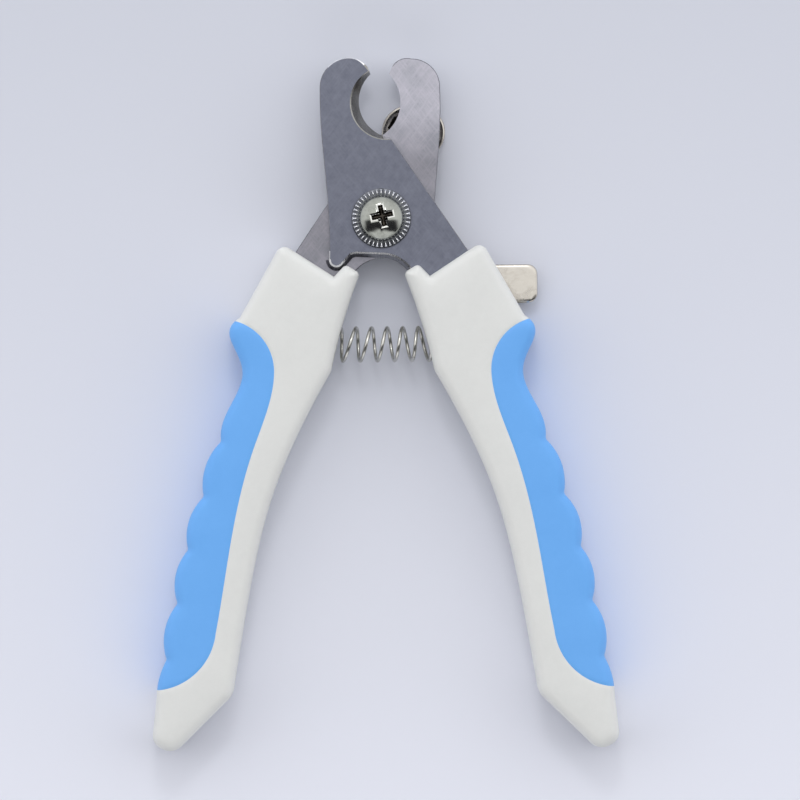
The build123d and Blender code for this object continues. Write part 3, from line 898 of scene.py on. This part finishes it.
outline = [*arc_through(inner_knee, inner_wall, inner_top, 20),
           *map(np.array, [lobe, lip_valley, shoulder])]
outline += curve_through([nose_top, (33.3, -25.0), (31.7, -29.3), (30.55, -33.4), (32.0, -38.3),
                          (34.6, -43.4), valleys[0]])[:-1]
for a, b in zip(np.array(valleys), np.array(valleys)[1:]):
    across = np.array((a[1] - b[1], b[0] - a[0])) / np.linalg.norm(b - a)
    outline += arc_through(a, 0.5 * (a + b) + SCALLOP_RISE * across, b)[:-1]
outline += arc_through(valleys[-1], (49.0, -98.9), grip_end)
outline += [*map(np.array, [tail_outer, tail_tip, tail_inner])]
outline += curve_through([(32.8, -100), (29.3, -80), (24.2, -60), (17.7, -45), inner_knee])[:-1]
outline = rounded(outline, [
    (inner_top, 1.0), (lobe, 1.1), (shoulder, 2.0), (inner_knee, 4.0), (tail_inner, 4.0),
    (tail_tip, 3.6), (tail_outer, 3.0), *((v, 1.2) for v in valleys)])
outline = divided(outline, 0.65)

parting = [*arc_through((33.6, -21.9), (26.6, -25.5), (23.6, -33.0), 24)[:-1],
           *curve_through([(23.6, -33.0), (28.2, -50.0), (33.3, -70.0), (36.8, -90.0)],
                          (0, -1), (0.2, -1), 30)[:-1],
           *arc_through((36.8, -90.0), (40.3, -97.8), (51.0, -102.4), 24)]


def crossings(path, loop):
    """Where an open path crosses a closed loop: (path segment, loop segment, point)."""
    found = []
    for i, (a, b) in enumerate(zip(path, path[1:])):
        for j, (c, d) in enumerate(zip(loop, np.roll(loop, -1, 0))):
            r, s, q = b - a, d - c, c - a
            cross = r[0] * s[1] - r[1] * s[0]
            if abs(cross) > 1e-12:
                t, u = (q[0] * s[1] - q[1] * s[0]) / cross, (q[0] * r[1] - q[1] * r[0]) / cross
                if 0 <= t < 1 and 0 <= u < 1:
                    found.append((i, j, a + t * r))
    return found


(i0, j0, upper_end), (i1, j1, lower_end) = crossings(parting, outline)
inner_parting = np.array([upper_end, *parting[i0 + 1:i1 + 1], lower_end])
around = np.roll(outline, -(j0 + 1), 0)
outer_count = (j1 - j0) % len(outline)


def spaced(points, least=0.12):
    """The points without any that come closer than least to the one before."""
    kept = [points[0]]
    for p in points[1:]:
        if np.hypot(*(p - kept[-1])) > least:
            kept.append(p)
    return np.array(kept)


grip_loop = spaced([upper_end, *around[:outer_count], *inner_parting[::-1][:-1]])
handle_loop = spaced([lower_end, *around[outer_count:], *inner_parting[:-1]])


def moulding_face(side):
    def height(xy):
        depth = distance(xy, outline)
        crown = 2 * CROWN * (1 - rise(0.5 + 0.5 * depth / CROWN_REACH))
        fall = rim_drop(depth, HANDLE_ROUND) + crown
        groove = PART_GROOVE * np.exp(-(distance(xy, parting, closed=False) / GROOVE_WIDTH) ** 2)
        return side * (HANDLE_HALF - np.minimum(fall, HANDLE_ROUND + CROWN) - groove)
    return height


def moulding(name, loop, finish):
    """A solid inside the loop, with rows of points along its rims and along the groove."""
    points = face_points([loop], outline, RIM_ROWS, FACE_PITCH)
    points = points[distance(points, parting, closed=False) > GROOVE_ROWS[-1] + 0.15]
    for off in GROOVE_ROWS:
        row = inset(loop, off)
        row = row[(distance(row, parting, closed=False) < off + 0.02) & inside(row, [loop])]
        points = np.concatenate([points, row[distance(row, outline) > 0.2]])
    return solid_between(name, [loop], points, moulding_face(1), moulding_face(-1), [finish],
                         seam=MOULD_SEAM)


def moulded(name, colour, shade, roughness, grain, relief, sheen, ior):
    """A moulded plastic or rubber. The mould was spark eroded, which leaves a fine grain over
    all of it, and the colour varies a little with the flow of the melt."""
    finish, tree, place = new_finish(name)
    spark, flow, dirt = (add(tree, "ShaderNodeTexNoise", {
        "Vector": place, "Scale": 1 / (size * MM), "Detail": detail, "Roughness": rough,
        "Distortion": warp}) for size, detail, rough, warp in (
            (grain, 3.0, 0.6, 0.0), (FLOW_SIZE, 4.0, 0.6, 0.6), (DIRT_SIZE, 6.0, 0.75, 0.0)))
    share = add(tree, "ShaderNodeMath", {0: flow, 1: dirt}, operation="ADD")
    share = add(tree, "ShaderNodeMapRange", {
        "Value": share, "From Min": 0.8, "From Max": 1.35})
    melt = add(tree, "ShaderNodeMix", {
        0: share, 6: linear(colour), 7: linear(shade)}, data_type="RGBA")
    skin(tree, melt, (spark, 0.3, 0.7, roughness - 0.05, roughness + 0.07), (spark, 0.5, relief),
         **{"IOR": ior, "Sheen Weight": sheen, "Sheen Roughness": 0.5})
    return finish


def cut(piece, cutter):
    """Takes the cutter's shape out of the piece, which becomes a plain mesh again."""
    tool = piece.modifiers.new("cut", "BOOLEAN")
    tool.operation, tool.solver, tool.object = "DIFFERENCE", "EXACT", cutter
    ready = piece.evaluated_get(bpy.context.evaluated_depsgraph_get())
    mesh = bpy.data.meshes.new_from_object(ready)
    piece.modifiers.clear()
    piece.data = mesh
    work = bmesh.new()
    work.from_mesh(mesh)
    bmesh.ops.dissolve_degenerate(work, dist=SLIVER * MM, edges=work.edges)
    bmesh.ops.triangulate(work, faces=[face for face in work.faces if len(face.verts) > 4])
    work.to_mesh(mesh)
    work.free()
    mesh.set_sharp_from_angle(angle=radians(CREASE))
    bpy.data.objects.remove(cutter)


def mirror(piece):
    """Turns a piece of the right half into its like on the left."""
    piece.data.transform(Matrix.Scale(-1, 4, (1, 0, 0)))
    piece.data.flip_normals()


# White ABS with a faint warm cast. The spark grain is near 0.1 mm, drawn at 0.4 mm.
white_abs = moulded("ABS_white_spark_textured", "DFE0DE", "DADBD9", 0.42, 0.4, 0.012, 0.0, 1.53)
for half in ("right", "left"):
    handle = moulding(half + "_handle_detailed", handle_loop, white_abs)
    cutter = lathe("pocket", pocket_profile, [white_abs])
    aim = Vector((cos(radians(POCKET_TURN)), sin(radians(POCKET_TURN)), 0))
    place = aim.to_track_quat("Z", "Y").to_matrix().to_4x4()
    place.translation = Vector((*pocket_mouth, 0)) * MM
    cutter.data.transform(place)
    cut(handle, cutter)
    if half == "right":  # only this one makes room for the guard's tab
        cut(handle, plate("relief", [(tab_relief, -12.0), (tab_relief, RELIEF_FLOOR)], [],
                          [white_abs, white_abs]))
    else:
        mirror(handle)
    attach(handle, half + "_half")
    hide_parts(half + "_handle")

# ==== soft grips ====
# Thermoplastic rubber moulded over the handles' ribs in a second shot, flush with the white
# and scalloped along the outside for the fingers.
# Blue TPE, matt, with a finer grain than the ABS and the bloom that rubber has.
blue_tpe = moulded("TPE_blue_matt", "6AAEF3", "66AAF0", 0.55, 0.35, 0.012, 0.1, 1.47)
for half in ("right", "left"):
    grip = moulding(half + "_grip_detailed", grip_loop, blue_tpe)
    if half == "left":
        mirror(grip)
    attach(grip, half + "_half")
    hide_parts(half + "_grip")

# ==== return spring ====
# Seven turns of music wire, bright zinc plated, seated in the two pockets. It pushes the
# handles open, and on the real clipper bends and shortens as they close; here it is built
# once, as it sits at rest.
SPRING_HALF = 12.5
SPRING_Y = -27.5
spring_sizes = {"Wire radius": 0.375 * MM, "Coil radius": 3.62 * MM, "Turns": 7.0,
                "Length": 2 * SPRING_HALF * MM, "Points per turn": 48,
                "Lean": 0.054, "Fan": 14.7}  # Fan is the bend of the coil, per metre
tree, given = node_tree("return_spring_shape", spring_sizes)
coil = add(tree, "GeometryNodeCurveSpiral", {
    "Resolution": given["Points per turn"], "Rotations": given["Turns"],
    "Start Radius": given["Coil radius"], "End Radius": given["Coil radius"],
    "Height": given["Length"]})
lying = add(tree, "GeometryNodeTransform", {
    "Geometry": coil, "Translation": (-SPRING_HALF * MM, SPRING_Y * MM, 0),
    "Rotation": (0, pi / 2, 0)})
# Pinched between the handles, the coil leans a little and its turns fan out at the front.
here = add(tree, "GeometryNodeInputPosition")
axes = add(tree, "ShaderNodeSeparateXYZ", {"Vector": here})
off_axis = add(tree, "ShaderNodeMath", {0: axes.outputs["Y"], 1: -SPRING_Y * MM}, operation="ADD")
fanned = add(tree, "ShaderNodeMath", {0: axes.outputs["X"], 1: given["Fan"]}, operation="MULTIPLY")
slant = add(tree, "ShaderNodeMath", {0: given["Lean"], 1: fanned}, operation="SUBTRACT")
shift = add(tree, "ShaderNodeMath", {0: off_axis, 1: slant}, operation="MULTIPLY")
offset = add(tree, "ShaderNodeCombineXYZ", {"X": shift})
bent = add(tree, "GeometryNodeSetPosition", {
    "Geometry": lying, "Offset": offset})
wire_section = add(tree, "GeometryNodeCurvePrimitiveCircle", {
    "Resolution": 14, "Radius": given["Wire radius"]})
wire = add(tree, "GeometryNodeCurveToMesh", {
    "Curve": bent, "Profile Curve": wire_section, "Fill Caps": True})
# Drawn wire: bright, with lines along it too fine to see, so an even gloss.
wire_zinc = plated_steel("Music_wire_bright_zinc", "C4C3BE", 0.2, 0.4, 0.01, "A3A199")
spring = grow("return_spring_detailed", tree, wire, wire_zinc, spring_sizes)
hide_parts("return_spring")
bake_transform(spring)

# ==== the studio ====
# A sheet of pale matt paper under the handles' flat backs, inside a white light tent that is
# open towards the handles, with one small lamp behind it, and the camera far above.
PAINTED_LIGHT_START, PAINTED_LIGHT_END = 60.0, -150.0  # where the painted light on the paper starts and ends, along Y
scene = bpy.context.scene
scene.view_settings.view_transform = "Standard"
paper, tree, place = new_finish("Floor_pale_matt")
# Painted light: the paper grades from the darker colour at +Y to the lighter one at -Y, standing in
# for how the tent lights it.
ends = add(tree, "ShaderNodeSeparateXYZ", {"Vector": place})
along = add(tree, "ShaderNodeMapRange", {
    "Value": ends.outputs["Y"], "From Min": PAINTED_LIGHT_START * MM, "From Max": PAINTED_LIGHT_END * MM})
painted_light_tone = add(tree, "ShaderNodeMix", {
    0: along, 6: linear("D0D3DE"), 7: linear("EBEDF8")}, data_type="RGBA")
matt = add(tree, "ShaderNodeBsdfPrincipled", {
    "Base Color": painted_light_tone.outputs[2], "Roughness": 0.85, "Specular IOR Level": 0.2})
add(tree, "ShaderNodeOutputMaterial", {"Surface": matt})
bpy.ops.mesh.primitive_plane_add(size=4.0, location=(0, 0, -HANDLE_HALF * MM - 0.0001))
ground = bpy.context.object
ground.name = "floor"
ground.data.materials.append(paper)

# The tent is brightest overhead. Its opening is a dark strip across it, towards the handles.
OPENING = (0.14, 0.76)  # where it starts and ends, as sines from straight up
OPENING_HALF = 0.95  # and how far it reaches to each side
SOFT = 0.08  # width of its blurred rim
world = bpy.data.worlds.new("light_tent")
scene.world = world
world.use_nodes = True
world.node_tree.nodes.clear()
tree = world.node_tree
toward = add(tree, "ShaderNodeTexCoord")
axes = add(tree, "ShaderNodeSeparateXYZ", {"Vector": toward.outputs["Generated"]})
height = add(tree, "ShaderNodeMapRange", {
    "Value": axes.outputs["Z"], "From Min": 0.0, "From Max": 0.9})
cloth = add(tree, "ShaderNodeMix", {
    0: height, 6: linear("E8E9EC"), 7: linear("FFFFFF")}, data_type="RGBA")
aside = add(tree, "ShaderNodeMath", {0: axes.outputs["X"]}, operation="ABSOLUTE")
opening = 1.0
for way, rim, within in ((axes.outputs["Y"], SOFT - OPENING[0], -OPENING[0]),
                         (axes.outputs["Y"], -OPENING[1], SOFT - OPENING[1]),
                         (aside.outputs[0], OPENING_HALF, OPENING_HALF - 2 * SOFT)):
    side = add(tree, "ShaderNodeMapRange", {"Value": way, "From Min": rim, "From Max": within})
    opening = add(tree, "ShaderNodeMath", {0: opening, 1: side}, operation="MULTIPLY")
tent = add(tree, "ShaderNodeMix", {
    0: opening, 6: cloth.outputs[2], 7: linear("303034")}, data_type="RGBA")
glow = add(tree, "ShaderNodeBackground", {"Color": tent.outputs[2], "Strength": 1.36})
add(tree, "ShaderNodeOutputWorld", {"Surface": glow})

light = bpy.data.lights.new("lamp", "AREA")
light.shape, light.size, light.energy = "SQUARE", 0.16, 0.8
lamp = bpy.data.objects.new("lamp", light)
lamp.location = (-0.02, 0.45, 0.75)
lamp.rotation_euler = lamp.location.to_track_quat("Z", "Y").to_euler()
scene.collection.objects.link(lamp)

CAMERA_HEIGHT = 1450.0  # above the blades' front faces
FRAME_WIDTH = 174.4  # seen across at that level
lens = bpy.data.cameras.new("over_the_trimmer")
camera = bpy.data.objects.new("over_the_trimmer", lens)
scene.collection.objects.link(camera)
lens.lens = lens.sensor_width * CAMERA_HEIGHT / FRAME_WIDTH
lens.clip_end = 10.0
camera.location = Vector((3.7, -39.7, CAMERA_HEIGHT + 3.0)) * MM
camera.rotation_euler = (0, 0, radians(-0.52))
scene.camera = camera
